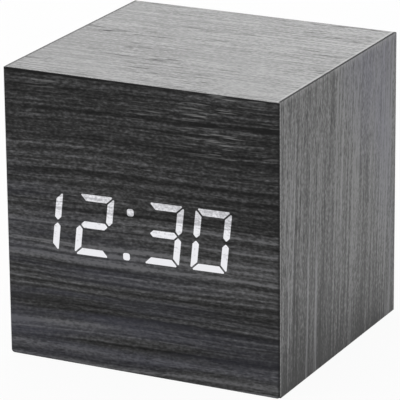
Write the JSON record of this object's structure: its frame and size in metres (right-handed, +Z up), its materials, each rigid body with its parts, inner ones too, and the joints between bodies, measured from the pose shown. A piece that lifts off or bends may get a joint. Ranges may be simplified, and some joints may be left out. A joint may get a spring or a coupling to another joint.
{
  "type": "digital alarm clock",
  "caption": "Cube digital alarm clock in a black wood-grain case; white seven-segment time shines through the front veneer, keys, power jack and battery bay at the back.",
  "frame": {"origin": "middle of the footprint, on the table", "axes": "+Z up, the display faces -Y, +X to the right of someone facing the display"},
  "size_m": [0.065, 0.06, 0.065],
  "materials": {
    "black_veneer": "charcoal wood-grain veneer, satin",
    "front_veneer": "charcoal wood-grain veneer that lets light through",
    "mdf": "fibreboard, rear edges stained black",
    "pine": "plain glue block",
    "lit_segment": "thin veneer lit white from behind",
    "opal_film": "opal light-spreading film",
    "white_abs": "white moulded reflector",
    "light_chip": "phosphor-covered light chip",
    "circuit_board": "green solder mask",
    "nylon": "natural nylon",
    "zinc_screw": "zinc-plated steel",
    "black_screw": "black-oxide steel",
    "chip_epoxy": "moulded epoxy",
    "nickel": "nickel plate",
    "black_abs": "fine spark-eroded moulding texture",
    "button_abs": "smooth moulded key",
    "capacitor_sleeve": "shrink sleeve",
    "ribbon_pvc": "grey flat cable",
    "cell_sleeve": "plain printed sleeve over a steel can",
    "red_pvc": "insulated lead",
    "black_pvc": "insulated lead"
  },
  "bodies": {
    "clock_case": {"top_panel": "mdf", "bottom_panel": "mdf", "left_panel": "mdf", "right_panel": "mdf", "top_veneer": "black_veneer", "bottom_veneer": "black_veneer", "left_veneer": "black_veneer", "right_veneer": "black_veneer", "front_board": "mdf", "front_veneer": "front_veneer", "lit_segments": "lit_segment", "corner_blocks": "pine", "diffuser_sheet": "opal_film", "display_reflector": "white_abs", "segment_leds": "light_chip", "display_board": "circuit_board", "display_spacers": "nylon", "display_screws": "zinc_screw", "clock_chip": "chip_epoxy", "crystal": "nickel", "buzzer": "black_abs", "smoothing_capacitor": "capacitor_sleeve", "board_resistors": "chip_epoxy", "display_socket": "nylon", "control_socket": "nylon", "ribbon_cable": "ribbon_pvc", "back_cover": "black_abs", "cover_screws": "black_screw", "switch_bodies": "chip_epoxy", "control_board": "circuit_board", "control_screws": "zinc_screw", "jack_body": "black_abs", "jack_pin": "nickel", "positive_contact": "nickel", "negative_contact": "nickel", "left_link_contact": "nickel", "right_link_contact": "nickel", "battery_springs": "nickel", "bottom_cell": "cell_sleeve", "middle_cell": "cell_sleeve", "top_cell": "cell_sleeve", "positive_lead": "red_pvc", "negative_lead": "black_pvc"},
    "set_key": {"set_button": "button_abs", "set_plunger": "nylon"},
    "down_key": {"down_button": "button_abs", "down_plunger": "nylon"},
    "up_key": {"up_button": "button_abs", "up_plunger": "nylon"},
    "door": {"battery_door": "black_abs"}
  },
  "joints": [
    {"name": "set_press", "type": "slide", "parent": "clock_case", "child": "set_key", "axis": [0, -1, 0], "range_m": [0, 0.0005], "stiffness_N_per_m": 1500, "springref_m": -0.0003},
    {"name": "down_press", "type": "slide", "parent": "clock_case", "child": "down_key", "axis": [0, -1, 0], "range_m": [0, 0.0005], "stiffness_N_per_m": 1500, "springref_m": -0.0003},
    {"name": "up_press", "type": "slide", "parent": "clock_case", "child": "up_key", "axis": [0, -1, 0], "range_m": [0, 0.0005], "stiffness_N_per_m": 1500, "springref_m": -0.0003},
    {"name": "battery_door_swing", "type": "hinge", "parent": "clock_case", "child": "door", "pos_m": [0, 0.0281, 0.0107], "axis": [-1, 0, 0], "range_deg": [0, 70]}
  ]
}
